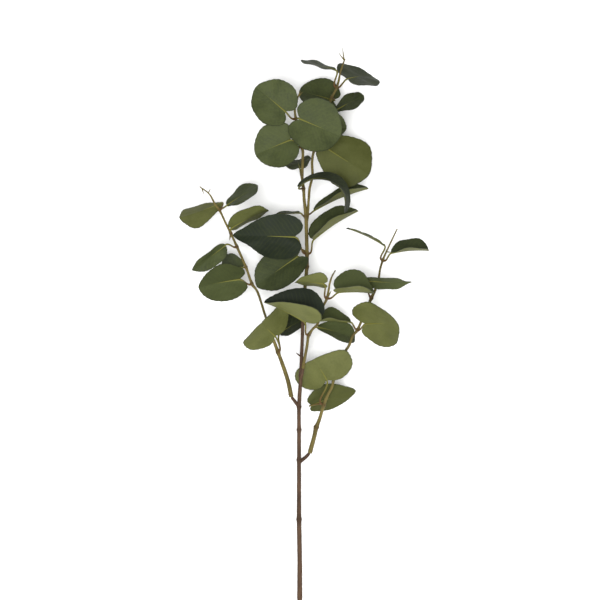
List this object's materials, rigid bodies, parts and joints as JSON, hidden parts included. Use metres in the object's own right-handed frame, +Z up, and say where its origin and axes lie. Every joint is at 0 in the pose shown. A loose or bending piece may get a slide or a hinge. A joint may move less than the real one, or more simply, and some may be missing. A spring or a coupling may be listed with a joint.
{
  "type": "eucalyptus branch",
  "caption": "Cut eucalyptus branch with round silver-dollar leaves on thin stalks, a brown main stem and green side sprigs, lying flat on a surface.",
  "frame": {"origin": "Bottom centre of the bounding box: the surface the branch lies on is z = 0.", "axes": "+Z up; +Y along the branch from the cut end to the crown; +X to the right, seen from above with the crown away from the viewer."},
  "size_m": [0.351, 0.7794, 0.1207],
  "materials": {
    "brown_bark": "moulded brown bark, matte",
    "green_bark": "moulded yellow-green young bark, satin",
    "leaf_green": "printed leaf cloth, grey-green above and yellow-green below, matte"
  },
  "bodies": {
    "root": {"main_stem": "brown_bark", "crown_stem": "green_bark", "left_sprig_stem": "green_bark", "right_sprig_stem": "green_bark", "inner_sprig_stem": "green_bark", "crown_leaf_1": "leaf_green", "crown_leaf_2": "leaf_green", "crown_leaf_3": "leaf_green", "crown_leaf_4": "leaf_green", "crown_leaf_5": "leaf_green", "crown_leaf_6": "leaf_green", "crown_leaf_7": "leaf_green", "crown_leaf_8": "leaf_green", "crown_leaf_9": "leaf_green", "crown_leaf_10": "leaf_green", "crown_leaf_11": "leaf_green", "crown_leaf_12": "leaf_green", "crown_leaf_13": "leaf_green", "crown_leaf_14": "leaf_green", "crown_leaf_15": "leaf_green", "crown_leaf_16": "leaf_green", "left_leaf_1": "leaf_green", "left_leaf_2": "leaf_green", "left_leaf_3": "leaf_green", "left_leaf_4": "leaf_green", "left_leaf_5": "leaf_green", "left_leaf_6": "leaf_green", "left_leaf_7": "leaf_green", "left_leaf_8": "leaf_green", "right_leaf_1": "leaf_green", "right_leaf_2": "leaf_green", "right_leaf_3": "leaf_green", "right_leaf_4": "leaf_green", "right_leaf_5": "leaf_green", "right_leaf_6": "leaf_green", "right_leaf_7": "leaf_green", "inner_leaf_1": "leaf_green", "inner_leaf_2": "leaf_green", "inner_leaf_3": "leaf_green", "inner_leaf_4": "leaf_green"}
  },
  "joints": []
}
